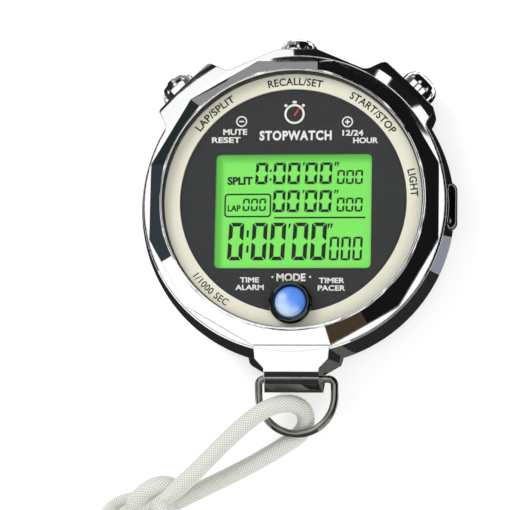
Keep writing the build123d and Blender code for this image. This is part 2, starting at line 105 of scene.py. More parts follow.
def noise_between(tree, socket, low, high, size):
    """Drives a socket between two values (numbers or colours) with soft noise."""
    where = tree.nodes.new("ShaderNodeTexCoord")
    noise = tree.nodes.new("ShaderNodeTexNoise")
    noise.inputs["Scale"].default_value = size
    noise.inputs["Detail"].default_value = 3.0
    tree.links.new(where.outputs["Object"], noise.inputs["Vector"])
    ramp = tree.nodes.new("ShaderNodeValToRGB")
    ramp.color_ramp.elements[0].position = 0.3
    ramp.color_ramp.elements[1].position = 0.7
    ends = []
    for value in (low, high):
        if isinstance(value, (int, float)):
            value = (value, value, value)
        ends.append((*value, 1))
    ramp.color_ramp.elements[0].color = ends[0]
    ramp.color_ramp.elements[1].color = ends[1]
    tree.links.new(noise.outputs["Fac"], ramp.inputs["Fac"])
    tree.links.new(ramp.outputs["Color"], socket)


def finish_material(name, low, high, rough=(0.4, 0.5), size=300, metallic=0.0, spec=0.5):
    mat, tree, shader = new_material(name)
    noise_between(tree, shader.inputs["Base Color"], low, high, size)
    noise_between(tree, shader.inputs["Roughness"], rough[0], rough[1], size * 1.7)
    shader.inputs["Metallic"].default_value = metallic
    shader.inputs["Specular IOR Level"].default_value = spec
    return mat


def plated_material(name, low, high, rough, size, edge):
    """Mirror plating whose sharp edges catch the light as rounded ones do."""
    mat = finish_material(name, low, high, rough, size, 1.0)
    tree = mat.node_tree
    bevel = tree.nodes.new("ShaderNodeBevel")
    bevel.samples = 4
    bevel.inputs["Radius"].default_value = edge * MM
    tree.links.new(bevel.outputs["Normal"], tree.nodes["Principled BSDF"].inputs["Normal"])
    return mat


CHROME = plated_material(
    "chrome_plate", (0.90, 0.91, 0.92), (0.94, 0.945, 0.95), (0.02, 0.04), 60, 0.28,
)
DARK_CHROME = plated_material(
    "dark_chrome", (0.045, 0.05, 0.055), (0.065, 0.07, 0.075), (0.03, 0.06), 200, 0.12,
)
# Nickel wire, darker than bright nickel: partly its own dull finish, partly painted shade for the
# dark reflections on the ring.
WIRE = finish_material(
    "nickel_wire", (0.20, 0.19, 0.17), (0.30, 0.29, 0.26), (0.08, 0.16), 400, 1.0,
)
# Darker chrome that paints shade on the lug's end face and on the light button, standing in for
# their dark reflections.
SHADE_PAINTED_CHROME = plated_material(
    "chrome_painted_shade", (0.16, 0.165, 0.16), (0.20, 0.205, 0.20), (0.03, 0.06), 200, 0.2,
)
STEEL = finish_material(
    "brushed_steel", (0.52, 0.52, 0.51), (0.60, 0.60, 0.59), (0.26, 0.34), 500, 1.0,
)
RUBBER = finish_material(
    "black_rubber", (0.010, 0.010, 0.011), (0.022, 0.022, 0.024), (0.5, 0.65), 900,
)
CREAM = finish_material(
    "cream_print", (0.88, 0.86, 0.69), (0.92, 0.90, 0.735), (0.32, 0.40), 1200,
)
DIAL = finish_material(
    "charcoal_film", (0.020, 0.020, 0.021), (0.027, 0.027, 0.028), (0.5, 0.6), 1500, spec=0.12,
)
WHITE_INK = finish_material(
    "white_ink", (0.82, 0.82, 0.78), (0.88, 0.88, 0.84), (0.4, 0.5), 900,
)
BLACK_INK = finish_material(
    "dark_ink", (0.012, 0.011, 0.010), (0.020, 0.018, 0.016), (0.5, 0.6), 900, spec=0.15,
)
RED_INK = finish_material("red_ink", (0.74, 0.02, 0.02), (0.82, 0.035, 0.03), (0.4, 0.5), 900)
SEGMENT = finish_material(
    "segment", (0.003, 0.008, 0.003), (0.005, 0.012, 0.005), (0.5, 0.6), 900, spec=0.1,
)
BLACK_PLASTIC = finish_material(
    "black_plastic", (0.02, 0.02, 0.022), (0.035, 0.035, 0.037), (0.4, 0.5), 500,
)
BOARD = finish_material(
    "board_green", (0.01, 0.10, 0.04), (0.016, 0.14, 0.055), (0.3, 0.4), 800,
)
RESIN = finish_material(
    "potting_resin", (0.008, 0.008, 0.008), (0.014, 0.014, 0.014), (0.25, 0.35), 500,
)
CELL = finish_material(
    "cell_steel", (0.62, 0.62, 0.60), (0.70, 0.70, 0.68), (0.22, 0.3), 500, 1.0,
)
BRASS = finish_material(
    "brass_disc", (0.68, 0.50, 0.20), (0.76, 0.57, 0.25), (0.25, 0.35), 500, 1.0,
)
ZEBRA = finish_material("strip_rubber", (0.20, 0.07, 0.06), (0.26, 0.09, 0.08), (0.5, 0.6), 500)


def lcd_material():
    """Green panel with painted shadow along its upper and left edges, where the dial plate's edge
    shades it, and a faint painted glow.
    """
    mat, tree, shader = new_material("lcd_green_painted_shadow")
    where = tree.nodes.new("ShaderNodeTexCoord")
    split = tree.nodes.new("ShaderNodeSeparateXYZ")
    tree.links.new(where.outputs["Object"], split.inputs["Vector"])

    def edge(axis, start, end):
        ramp = tree.nodes.new("ShaderNodeMapRange")
        ramp.interpolation_type = "SMOOTHSTEP"
        ramp.inputs["From Min"].default_value = start * MM
        ramp.inputs["From Max"].default_value = end * MM
        tree.links.new(split.outputs[axis], ramp.inputs["Value"])
        return ramp.outputs["Result"]

    # Painted shadow: the green darkens within about two millimetres of the upper and left edges.
    top = edge("Y", WINDOW_Y + WINDOW_H / 2 - 0.5, WINDOW_Y + WINDOW_H / 2 - 2.4)
    left = edge("X", -WINDOW_W / 2 + 0.8, -WINDOW_W / 2 + 2.2)
    edge_shadow_mask = tree.nodes.new("ShaderNodeMath")
    edge_shadow_mask.operation = "MINIMUM"
    tree.links.new(top, edge_shadow_mask.inputs[0])
    tree.links.new(left, edge_shadow_mask.inputs[1])
    ramp = tree.nodes.new("ShaderNodeValToRGB")
    ramp.color_ramp.elements[0].color = (0.072, 0.42, 0.030, 1)
    ramp.color_ramp.elements[1].color = (0.152, 0.655, 0.074, 1)
    tree.links.new(edge_shadow_mask.outputs[0], ramp.inputs["Fac"])
    tree.links.new(ramp.outputs["Color"], shader.inputs["Base Color"])
    # Painted glow: the panel emits its own green, adding light that the lamps do not give it.
    tree.links.new(ramp.outputs["Color"], shader.inputs["Emission Color"])
    shader.inputs["Emission Strength"].default_value = 0.32
    shader.inputs["Roughness"].default_value = 0.35
    return mat


def glass_material():
    """Clear window: light passes straight through, with a faint gloss."""
    mat, tree, shader = new_material("clear_acrylic")
    noise_between(tree, shader.inputs["Base Color"], (0.09, 0.10, 0.10), (0.11, 0.12, 0.12), 200)
    shader.inputs["Roughness"].default_value = 0.05
    shader.inputs["Alpha"].default_value = 0.06
    shader.inputs["IOR"].default_value = 1.49
    return mat


def blue_material():
    """Frosted blue cap with a painted highlight: paler and mottled towards its lower left side."""
    mat, tree, shader = new_material("blue_plastic")
    where = tree.nodes.new("ShaderNodeTexCoord")
    split = tree.nodes.new("ShaderNodeSeparateXYZ")
    tree.links.new(where.outputs["Object"], split.inputs["Vector"])
    total = tree.nodes.new("ShaderNodeMath")
    total.operation = "ADD"
    tree.links.new(split.outputs["X"], total.inputs[0])
    tree.links.new(split.outputs["Y"], total.inputs[1])
    # Painted highlight: the colour pales across the cap towards the lower left, with soft
    # mottling.
    highlight_ramp = tree.nodes.new("ShaderNodeMapRange")
    highlight_ramp.inputs["From Min"].default_value = (MODE_Y - 4.0) * MM
    highlight_ramp.inputs["From Max"].default_value = (MODE_Y + 3.2) * MM
    tree.links.new(total.outputs[0], highlight_ramp.inputs["Value"])
    noise = tree.nodes.new("ShaderNodeTexNoise")
    noise.inputs["Scale"].default_value = 520
    tree.links.new(where.outputs["Object"], noise.inputs["Vector"])
    mottled_highlight = tree.nodes.new("ShaderNodeMath")
    mottled_highlight.operation = "MULTIPLY_ADD"
    mottled_highlight.inputs[1].default_value = 0.5
    tree.links.new(noise.outputs["Fac"], mottled_highlight.inputs[0])
    tree.links.new(highlight_ramp.outputs["Result"], mottled_highlight.inputs[2])
    ramp = tree.nodes.new("ShaderNodeValToRGB")
    ramp.color_ramp.elements[0].position = 0.25
    ramp.color_ramp.elements[0].color = (0.52, 0.72, 0.86, 1)
    ramp.color_ramp.elements[1].position = 1.1 / 1.2
    ramp.color_ramp.elements[1].color = (0.09, 0.25, 0.80, 1)
    tree.links.new(mottled_highlight.outputs[0], ramp.inputs["Fac"])
    tree.links.new(ramp.outputs["Color"], shader.inputs["Base Color"])
    shader.inputs["Roughness"].default_value = 0.18
    shader.inputs["Coat Weight"].default_value = 0.3
    return mat


def cord_material():
    """White braid with painted shade: darker in the dips between the yarns."""
    mat, tree, shader = new_material("white_braid")
    attr = tree.nodes.new("ShaderNodeAttribute")
    attr.attribute_name = "dip_shade"
    ramp = tree.nodes.new("ShaderNodeValToRGB")
    ramp.color_ramp.elements[0].color = (0.44, 0.45, 0.40, 1)
    ramp.color_ramp.elements[1].color = (0.82, 0.83, 0.765, 1)
    ramp.color_ramp.elements[1].position = 0.6
    tree.links.new(attr.outputs["Fac"], ramp.inputs["Fac"])
    tree.links.new(ramp.outputs["Color"], shader.inputs["Base Color"])
    shader.inputs["Roughness"].default_value = 0.75
    shader.inputs["Sheen Weight"].default_value = 0.25
    return mat


LCD = lcd_material()
GLASS = glass_material()
BLUE = blue_material()
BRAID = cord_material()
DIFFUSER = finish_material("diffuser", (0.45, 0.80, 0.40), (0.5, 0.85, 0.45), (0.4, 0.5), 300)

NODE_MATERIALS = {
    "lcd_panel": LCD, "lcd_backlight": DIFFUSER, "contact_strips": ZEBRA,
    "works_holder": BLACK_PLASTIC, "circuit_board": BOARD, "tact_switches": STEEL,
    "chip_resin": RESIN, "quartz_can": CELL, "coin_cell": CELL, "cell_cup": BLACK_PLASTIC,
    "cell_strap": STEEL, "buzzer_disc": BRASS, "buzzer_springs": STEEL,
    "board_screws": STEEL, "back_screws": STEEL, "back_cover": STEEL,
    "back_gasket": RUBBER, "glass_gasket": RUBBER, "printed_ring": CREAM,
    "dial_plate": DIAL, "mode_button": BLUE, "wire_ring": WIRE, "glass": GLASS,
    # The light button's darker chrome is painted shade.
    "middle_case": CHROME, "bezel": CHROME, "mode_collar": DARK_CHROME, "light_button": SHADE_PAINTED_CHROME,
}
for node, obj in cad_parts.items():
    material = NODE_MATERIALS.get(node)
    if material is None:
        if node.endswith("_button"):
            material = CHROME
        elif node.endswith("_seal"):
            material = RUBBER
        elif node.startswith("lanyard"):
            material = BRAID
        else:
            material = STEEL
    obj.data.materials.clear()
    obj.data.materials.append(material)


def paint_bezel_foot_shade():
    """Painted shade: the low upright wall under the facets gets the black material, a dark line
    where the joint under the bezel is shaded.
    """
    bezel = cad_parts["bezel"]
    bezel.data.materials.append(RUBBER)
    for poly in bezel.data.polygons:
        if 0.0131 < poly.center.z < 0.01376 and abs(poly.normal.z) < 0.1:
            if math.hypot(poly.center.x, poly.center.y) > 0.029:
                poly.material_index = 1


paint_bezel_foot_shade()


def paint_lug_end_shade():
    """Painted shade: the lug's end face gets a darker chrome, for the dim reflections it shows."""
    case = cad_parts["middle_case"]
    case.data.materials.append(SHADE_PAINTED_CHROME)
    for poly in case.data.polygons:
        if poly.center.y < -0.0365 and poly.normal.z < 0.75 and poly.normal.y < -0.4:
            poly.material_index = 1


paint_lug_end_shade()


# ---- helpers ----------------------------------------------------------

def link(obj):
    bpy.context.scene.collection.objects.link(obj)
    return obj


def mesh_object(name, verts, faces, material, smooth=False):
    mesh = bpy.data.meshes.new(name)
    mesh.from_pydata([tuple(v) for v in verts], [], faces)
    mesh.materials.append(material)
    mesh.validate()
    for poly in mesh.polygons:
        poly.use_smooth = smooth
    return link(bpy.data.objects.new(name, mesh))


LETTER_HEIGHT = 0.729    # of the built-in font's capitals at size 1


class Plates:
    """Gathers thin flat plates (printing, display segments) into one mesh."""

    def __init__(self, name, material, z, thick=0.012):
        self.name, self.material = name, material
        self.z, self.thick = z, thick
        self.verts, self.faces = [], []

    def polygon(self, points):
        """Convex or simple polygon, millimetres, anticlockwise."""
        n = len(points)
        base = len(self.verts)
        for z in (self.z, self.z + self.thick):
            for x, y in points:
                self.verts.append((x * MM, y * MM, z * MM))
        self.faces.append([base + n + i for i in range(n)])
        self.faces.append([base + n - 1 - i for i in range(n)])
        for i in range(n):
            j = (i + 1) % n
            self.faces.append([base + i, base + j, base + n + j, base + n + i])

    def box(self, x0, y0, x1, y1):
        self.polygon([(x0, y0), (x1, y0), (x1, y1), (x0, y1)])

    def loop(self, outer, inner):
        """Closed band between two outlines of the same length."""
        n = len(outer)
        for i in range(n):
            j = (i + 1) % n
            self.polygon([outer[i], outer[j], inner[j], inner[i]])

    def text(self, body, size, place, width=None, weight=0.0, spacing=1.0):
        """Filled letters from the built-in font; place maps (x, y) in mm."""
        curve = bpy.data.curves.new("letters", "FONT")
        curve.body = body
        curve.size = 1.0
        curve.space_character = spacing
        curve.offset = weight
        curve.resolution_u = 4
        curve.align_x = "CENTER"
        temp = link(bpy.data.objects.new("letters", curve))
        bpy.context.view_layer.update()
        dg = bpy.context.evaluated_depsgraph_get()
        mesh = bpy.data.meshes.new_from_object(temp.evaluated_get(dg))
        co = np.array([v.co[:2] for v in mesh.vertices], float)
        co[:, 0] -= (co[:, 0].min() + co[:, 0].max()) / 2
        scale_y = size / LETTER_HEIGHT
        scale_x = scale_y
        if width is not None:
            scale_x = width / (co[:, 0].max() - co[:, 0].min())
        co[:, 0] *= scale_x
        co[:, 1] = co[:, 1] * scale_y - size / 2
        placed = [place(x, y) for x, y in co]
        base = len(self.verts)
        for x, y in placed:
            self.verts.append((x * MM, y * MM, (self.z + self.thick) * MM))
        for poly in mesh.polygons:
            ring = [base + i for i in poly.vertices]
            if poly.normal.z < 0:
                ring.reverse()
            self.faces.append(ring)
        bpy.data.objects.remove(temp)
        bpy.data.meshes.remove(mesh)
        bpy.data.curves.remove(curve)

    def line(self, body, size, x, y, width=None, weight=0.0, spread=1.0):
        self.text(body, size, lambda u, v: (x + u, y + v), width, weight, spread)

    def arc(self, body, size, radius, centre_deg, span, weight=0.0):
        """Letters along a circle, tops outward; angle anticlockwise from +X."""
        def place(u, v):
            a = math.radians(centre_deg) - u / radius
            return ((radius + v) * math.cos(a), (radius + v) * math.sin(a))

        self.text(body, size, place, span, weight, 1.05)

    def under(self, body, size, radius, centre_deg, span, weight=0.0):
        """Letters along the lower side of a circle, tops inward."""
        def place(u, v):
            a = math.radians(centre_deg) + u / radius
            return ((radius - v) * math.cos(a), (radius - v) * math.sin(a))

        self.text(body, size, place, span, weight, 1.05)

    def make(self, body, slot):
        obj = mesh_object(self.name, self.verts, self.faces, self.material)
        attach(obj, body)
        return obj


# ---- return springs ---------------------------------------------------

def make_spring(button):
    """The button's spring again, a copy attached to the watch.  turn is
    the button's azimuth in degrees, or None for the one on the front; it is not used."""
    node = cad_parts[f"{button}_spring"]
    spring = link(bpy.data.objects.new(f"{button}_coil_spring", node.data.copy()))
    spring.matrix_world = node.matrix_world.copy()
    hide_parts(f"{button}_spring")
    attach(spring, "watch")
    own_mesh(spring)


for button, turn, travel in (
    ("lap_split", 135, 1.0),
    ("recall_set", 90, 1.0),
    ("start_stop", 45, 1.0),
    ("light", 0, 0.7),
    ("mode", None, 0.8),
):
    make_spring(button)


# ---- cord -------------------------------------------------------------

LOOP = [
    (-26.6, -62.9, 2.3),
    (-19.5, -59.3, 1.95),
    (-10.8, -55.1, 1.95),
    (-3.2, -50.7, 1.95),
    (2.3, -46.9, 1.95),
    (2.4, -42.6, 4.8),
    (-1.4, -41.6, 8.4),
    (-6.6, -43.6, 9.2),
    (-13.3, -49.2, 8.3),
    (-19.6, -55.6, 7.1),
    (-26.3, -61.8, 6.3),
]
LEAD_OUT = [
    (-37.5, -65.8, 3.6),
    (-43.2, -69.2, 2.3),
    (-47.8, -73.6, 1.95),
    (-52.2, -81.2, 1.95),
]
LEAD_BACK = [
    (-16.1, -77.8, 5.75),
    (-19.2, -73.2, 5.5),
    (-23.2, -69.4, 5.0),
    (-27.6, -66.6, 4.7),
]
COIL_X = -33.0
COIL_Y = -98.0
COIL_OUT = 24.7          # radii of the three laid rows
COIL_MID = 20.9
COIL_IN = 17.1
LOW_Z = 1.95             # centre heights of the two layers
HIGH_Z = 5.75
START_DEG = 150.0
TURNS = 5.667
STEPS = 12               # control points per turn
POLE_SCALE = 0.9665      # a control point's circle is this much wider


def smooth_step(t, a, b):
    u = min(max((t - a) / (b - a), 0.0), 1.0)
    return u * u * (3 - 2 * u)


def coil_points():
    """Three turns inwards on the surface, then three outwards on top of them."""
    order = [COIL_OUT, COIL_MID, COIL_IN, COIL_IN, COIL_MID, COIL_OUT]
    points = []
    count = int(round(TURNS * STEPS))
    for k in range(count + 1):
        t = k / STEPS
        turn = min(int(t), 5)
        radius = order[turn]
        if turn < 5:
            radius += (order[turn + 1] - radius) * smooth_step(t - turn, 0.80, 1.0)
        z = LOW_Z + (HIGH_Z - LOW_Z) * smooth_step(t, 2.62, 2.86)
        a = math.radians(START_DEG) + 2 * math.pi * t
        corner = radius / POLE_SCALE
        points.append((COIL_X + corner * math.cos(a), COIL_Y + corner * math.sin(a), z))
    return points


def cord_points():
    return LOOP + LEAD_OUT + coil_points() + LEAD_BACK


def make_line(name, points, cyclic=False):
    """Quadratic NURBS through given control points, no bevel."""
    curve = bpy.data.curves.new(name, "CURVE")
    curve.dimensions = "3D"
    spline = curve.splines.new("NURBS")
    spline.points.add(len(points) - 1)
    for point, place in zip(spline.points, points):
        point.co = (place[0] * MM, place[1] * MM, place[2] * MM, 1)
    spline.order_u = 3
    spline.use_endpoint_u = not cyclic
    spline.use_cyclic_u = cyclic
    spline.resolution_u = 16
    return link(bpy.data.objects.new(name, curve))


def read_line(obj):
    """The curve's own polyline as an array of points, then the curve goes."""
    bpy.context.view_layer.update()
    dg = bpy.context.evaluated_depsgraph_get()
    mesh = bpy.data.meshes.new_from_object(obj.evaluated_get(dg))
    points = np.array([v.co for v in mesh.vertices], float)
    bpy.data.meshes.remove(mesh)
    curve = obj.data
    bpy.data.objects.remove(obj)
    bpy.data.curves.remove(curve)
    return points


def even(points, step, closed=False):
    """The same line with evenly spaced points."""
    if closed:
        points = np.vstack([points, points[:1]])
    seg = np.linalg.norm(np.diff(points, axis=0), axis=1)
    keep = np.concatenate([[True], seg > 1e-9])
    points = points[keep]
    seg = np.linalg.norm(np.diff(points, axis=0), axis=1)
    s = np.concatenate([[0], np.cumsum(seg)])
    n = max(2, 2 * int(round(s[-1] / step / 2)))
    at = np.linspace(0, s[-1], n + 1)
    out = np.stack([np.interp(at, s, points[:, k]) for k in range(3)], 1)
    if closed:
        out = out[:-1]
    return out, s[-1]


def frames(points, closed=False):
    """Tangents and a twist-free pair of cross directions along a line."""
    if closed:
        tangent = np.roll(points, -1, 0) - np.roll(points, 1, 0)
    else:
        tangent = np.gradient(points, axis=0)
    tangent /= np.linalg.norm(tangent, axis=1)[:, None]
    side = np.zeros_like(points)
    start = np.cross(tangent[0], (0, 0, 1.0))
    if np.linalg.norm(start) < 0.1:
        start = np.cross(tangent[0], (0, 1.0, 0))
    side[0] = start / np.linalg.norm(start)
    for i in range(1, len(points)):
        v = side[i - 1] - tangent[i] * (side[i - 1] @ tangent[i])
        side[i] = v / np.linalg.norm(v)
    return tangent, side, np.cross(tangent, side)


def braid_tube(name, points, radius, yarns, closed=False):
    """Tube of interlaced yarns.  Every second vertex is the crown of a yarn
    crossing and the ones between are the dips round it, row after row."""
    n = len(points)
    around = 2 * yarns
    tangent, side, up = frames(points, closed)
    twist = np.zeros(n)
    if closed:
        cosine = side[-1] @ side[0]
        sine = np.cross(side[-1], side[0]) @ tangent[0]
        twist = math.atan2(sine, cosine) * np.arange(n) / n
    row = np.arange(n)[:, None]
    col = np.arange(around)[None, :]
    height = ((row + col) % 2).astype(float)
    r = radius * (BRAID_LOW + (1 - BRAID_LOW) * height)
    if not closed:
        end = np.minimum(np.arange(n), np.arange(n)[::-1]) / 5.0
        r = r * np.sqrt(np.clip(end, 0.02, 1))[:, None]
    angle = 2 * math.pi * col / around + twist[:, None]
    ring = (
        side[:, None, :] * np.cos(angle)[:, :, None]
        + up[:, None, :] * np.sin(angle)[:, :, None]
    )
    co = (points[:, None, :] + ring * r[:, :, None]).reshape(-1, 3)
    faces = []
    for i in range(n if closed else n - 1):
        j = (i + 1) % n
        for k in range(around):
            m = (k + 1) % around
            low_a, low_b = i * around + k, i * around + m
            high_b, high_a = j * around + m, j * around + k
            if (i + k) % 2:
                faces += [(low_a, low_b, high_a), (low_b, high_b, high_a)]
            else:
                faces += [(low_a, low_b, high_b), (low_a, high_b, high_a)]
    if not closed:
        faces.append(tuple(range(around - 1, -1, -1)))
        faces.append(tuple((n - 1) * around + k for k in range(around)))
    mesh = bpy.data.meshes.new(name)
    mesh.from_pydata(co.tolist(), [], faces)
    mesh.materials.append(BRAID)
    # The crown height, 0 in the dips, also drives the braid's painted shade there.
    dip_shade = mesh.attributes.new("dip_shade", "FLOAT", "POINT")
    dip_shade.data.foreach_set("value", height.reshape(-1).astype(np.float32))
    mesh.shade_smooth()
    return link(bpy.data.objects.new(name, mesh))


KNOT_CENTRE = (-31.3, -64.0, 4.85)
KNOT_TURN = 24.0
KNOT_HALF = (7.0, 4.9, 2.55)


def knot_points():
    """Overhand knot squeezed into the lump's outline."""
    turn = math.radians(KNOT_TURN)
    points = []
    count = 30
    for k in range(count):
        t = 2 * math.pi * k / count
        u = (math.sin(t) + 2 * math.sin(2 * t)) / 2.6
        v = (math.cos(t) - 2 * math.cos(2 * t)) / 3.0
        w = -math.sin(3 * t)
        x, y, z = u * KNOT_HALF[0], v * KNOT_HALF[1], w * KNOT_HALF[2]
        points.append((
            KNOT_CENTRE[0] + x * math.cos(turn) - y * math.sin(turn),
            KNOT_CENTRE[1] + x * math.sin(turn) + y * math.cos(turn),
            KNOT_CENTRE[2] + z,
        ))
    return points


BRAID_LOW = 0.925
PITCH = 0.66             # length of one yarn crossing along the cord
YARNS = 16
ROW_STEP = PITCH / 2 * MM * 1

cord_curve = make_line("cord_line", cord_points())
line, cord_length = even(read_line(cord_curve), ROW_STEP)
cord = braid_tube("neck_cord", line, CORD_R * MM, YARNS)
knot_curve = make_line("knot_line", knot_points(), True)
knot_line = even(read_line(knot_curve), ROW_STEP, True)[0]
knot = braid_tube("cord_knot", knot_line, CORD_R * MM, YARNS, True)
print("cord length", round(cord_length, 4))
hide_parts("lanyard_loop", "lanyard_leads", "lanyard_coil")
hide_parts("lanyard_knot")
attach(knot, "watch")


TIE_DEG = -68.0
TIE_R = 0.6
TIE_PITCH = 1.25         # from one wrap to the next
TIE_STEP = 0.45 * MM


def tie_points(shift):
    """One wrap over the laid turns, its ends tucked under their sides."""
    a = math.radians(TIE_DEG) + shift / COIL_MID
    points = []
    for reach, z in (
        (-4.7, 0.75),
        (-6.3, 1.3),
        (-6.45, 4.0),
        (-6.1, 7.4),
        (-3.6, 8.25),
        (0.0, 8.3),
        (3.6, 8.25),
        (6.1, 7.4),
        (6.45, 4.0),
        (6.3, 1.3),
        (4.7, 0.75),
    ):
        r = COIL_MID + reach
        points.append((COIL_X + r * math.cos(a), COIL_Y + r * math.sin(a), z))
    return points


for k in (-1, 0, 1):
    tie_curve = make_line("tie_line", tie_points(TIE_PITCH * k))
    tie_line = even(read_line(tie_curve), TIE_STEP)[0]
    tie = braid_tube(f"tie_wrap_{k + 2}", tie_line, TIE_R * MM, 5)
    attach(tie, "watch")
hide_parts("lanyard_tie")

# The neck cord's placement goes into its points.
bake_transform(cord)


# ---- printing on the ring and the dial --------------------------------

def circle(radius, x=0.0, y=0.0, count=40):
    turns = [2 * math.pi / count * k for k in range(count)]
    return [(x + radius * math.cos(a), y + radius * math.sin(a)) for a in turns]


def print_ring():
    ink = Plates("ring_print", BLACK_INK, RING_Z + INK_LIFT)
    ink.arc("RECALL/SET", 1.62, 25.55, 89.7, 11.7, 0.022)
    ink.arc("LAP/SPLIT", 1.62, 25.55, 131.9, 10.2, 0.022)
    ink.arc("START/STOP", 1.62, 25.55, 48.3, 12.4, 0.022)
    ink.arc("LIGHT", 1.62, 25.55, 8.1, 5.9, 0.022)
    ink.under("1/1000 SEC", 1.5, 25.55, 228.4, 9.2, 0.014)
    ink.make("watch", "print_dark")


def print_dial():
    ink = Plates("dial_print", WHITE_INK, DIAL_Z + INK_LIFT)
    ink.line("STOPWATCH", 1.98, 0.3, 14.04, 15.25, 0.04, spread=1.15)
    ink.line("MUTE", 1.24, -12.51, 14.86, 5.1, 0.03)
    ink.line("RESET", 1.2, -14.39, 13.13, 6.1, 0.03)
    ink.line("12/24", 1.2, 12.39, 14.49, 4.4, 0.03)
    ink.line("HOUR", 1.2, 15.09, 12.86, 5.25, 0.03)
    ink.line("MODE", 1.6, -0.15, -16.29, 6.1, 0.036)
    ink.polygon(circle(0.22, -4.05, -16.25, 12))
    ink.polygon(circle(0.22, 3.85, -16.25, 12))
    ink.line("TIME", 1.12, -8.85, -16.85, 4.0, 0.028)
    ink.line("ALARM", 1.12, -8.82, -18.42, 6.0, 0.028)
    ink.line("TIMER", 1.12, 8.38, -16.97, 5.35, 0.028)
    ink.line("PACER", 1.12, 8.36, -18.56, 5.75, 0.028)
    for x, y, sign in ((-11.19, 17.08, "minus"), (11.21, 16.83, "plus")):
        ink.loop(circle(1.17, x, y), circle(0.9, x, y))
        ink.box(x - 0.5, y - 0.15, x + 0.5, y + 0.15)
        if sign == "plus":
            ink.box(x - 0.15, y + 0.15, x + 0.15, y + 0.5)
            ink.box(x - 0.15, y - 0.5, x + 0.15, y - 0.15)
    # A small clock sign: rim, stem, side pushers and a red hand.
    ink.loop(circle(2.15, 0, 18.6), circle(1.7, 0, 18.6))
    ink.box(-0.42, 20.9, 0.42, 21.45)
    for side in (-1, 1):
        ink.polygon(circle(0.4, side * 1.85, 20.45, 4))
    ink.make("watch", "print_white")
    hand = Plates("dial_print_red", RED_INK, DIAL_Z + INK_LIFT)
    hand.polygon([(-0.22, 18.3), (0.16, 18.2), (1.15, 19.95), (0.98, 20.05)])
    hand.make("watch", "print_red")


# ---- display ----------------------------------------------------------

LEAN = 0.045


class Segments(Plates):
    """Seven-segment figures showing zero."""

    def zero(self, x, y, w, h, t, gap=0.07):
        """Centre, overall size and stroke width of one figure."""
        left, right = -w / 2, w / 2
        g = gap
        bevel = t * 0.95
        shapes = []
        for side in (-1, 1):
            outer = side * (w / 2)
            inner = side * (w / 2 - t)
            for end in (-1, 1):
                tip = end * (h / 2 - g)
                mid = end * g * 2.2
                shapes.append([
                    (outer, tip - end * 0.35 * t),
                    (outer - side * 0.12 * t, tip),
                    (inner, tip - end * bevel),
                    (inner, mid + end * 0.75 * t),
                    (outer - side * 0.1 * t, mid),
                    (outer, mid + end * 0.15 * t),
                ])
        for end in (-1, 1):
            top = end * h / 2
            shapes.append([
                (left + 0.3 * t + g, top),
                (right - 0.3 * t - g, top),
                (right - t - g * 0.2, top - end * t * 0.92),
                (left + t + g * 0.2, top - end * t * 0.92),
            ])
        for shape in shapes:
            area2 = sum(
                shape[i - 1][0] * shape[i][1] - shape[i][0] * shape[i - 1][1]
                for i in range(len(shape))
            )
            if area2 < 0:
                shape.reverse()
            self.polygon([(x + u + LEAN * v, y + v) for u, v in shape])

    def bar(self, x, y, w, h):
        self.polygon([
            (x - w / 2 - LEAN * h / 2, y - h / 2),
            (x + w / 2 - LEAN * h / 2, y - h / 2),
            (x + w / 2 + LEAN * h / 2, y + h / 2),
            (x - w / 2 + LEAN * h / 2, y + h / 2),
        ])

    def tick(self, x, y, size):
        self.polygon([
            (x - 0.22 * size, y - 0.5 * size),
            (x + 0.02 * size, y - 0.5 * size),
            (x + 0.38 * size, y + 0.5 * size),
            (x - 0.12 * size, y + 0.5 * size),
        ])


def draw_display():
    ink = Segments("lcd_figures", SEGMENT, LCD_Z + INK_LIFT)
    # Upper row
    for x in (-6.75, -2.99, 0.08, 3.71, 6.82):
        ink.zero(x, 5.9, 2.55, 4.65, 0.64)
    for y in (4.6, 6.5):
        ink.bar(-4.87, y, 0.38, 0.5)
    ink.tick(2.1, 7.9, 0.8)
    ink.tick(8.75, 7.85, 0.9)
    ink.tick(9.3, 7.85, 0.9)
    for x in (9.97, 11.87, 13.77):
        ink.zero(x, 5.05, 1.6, 3.0, 0.42, 0.05)
    ink.line("SPLIT", 1.62, -11.31, 4.4, 5.35, 0.045)
    # Middle row
    for x in (-3.0, 0.02, 3.7, 6.78):
        ink.zero(x, -0.06, 2.55, 4.7, 0.64)
    ink.tick(2.1, 2.0, 0.8)
    ink.tick(8.75, 1.95, 0.8)
    ink.tick(9.25, 1.95, 0.8)
    for x in (9.97, 11.87, 13.77):
        ink.zero(x, -0.84, 1.6, 3.0, 0.42, 0.05)
    outer = rounded(-9.58, -0.93, 9.9, 5.08, 0.75)
    inner = rounded(-9.58, -0.93, 9.26, 4.44, 0.5)
    ink.loop(outer, inner)
    ink.line("LAP", 1.3, -12.45, -1.5, 2.75, 0.035)
    for x in (-9.9, -8.18, -6.46):
        ink.zero(x, -0.79, 1.42, 2.66, 0.38, 0.05)
    ink.box(-3.95, -3.75, 15.25, -3.42)
    # Lower row
    for x in (-11.98, -7.02, -3.12, 1.56, 5.46):
        ink.zero(x, -8.64, 3.18, 8.0, 0.84, 0.1)
    for y in (-10.25, -7.0):
        ink.bar(-9.47, y, 0.45, 1.5)
    ink.tick(-0.72, -5.35, 1.0)
    ink.tick(7.5, -5.35, 1.0)
    ink.tick(8.1, -5.35, 1.0)
    for x in (8.74, 11.18, 13.64):
        ink.zero(x, -10.18, 1.98, 5.0, 0.48, 0.06)
    ink.make("watch", "segments")


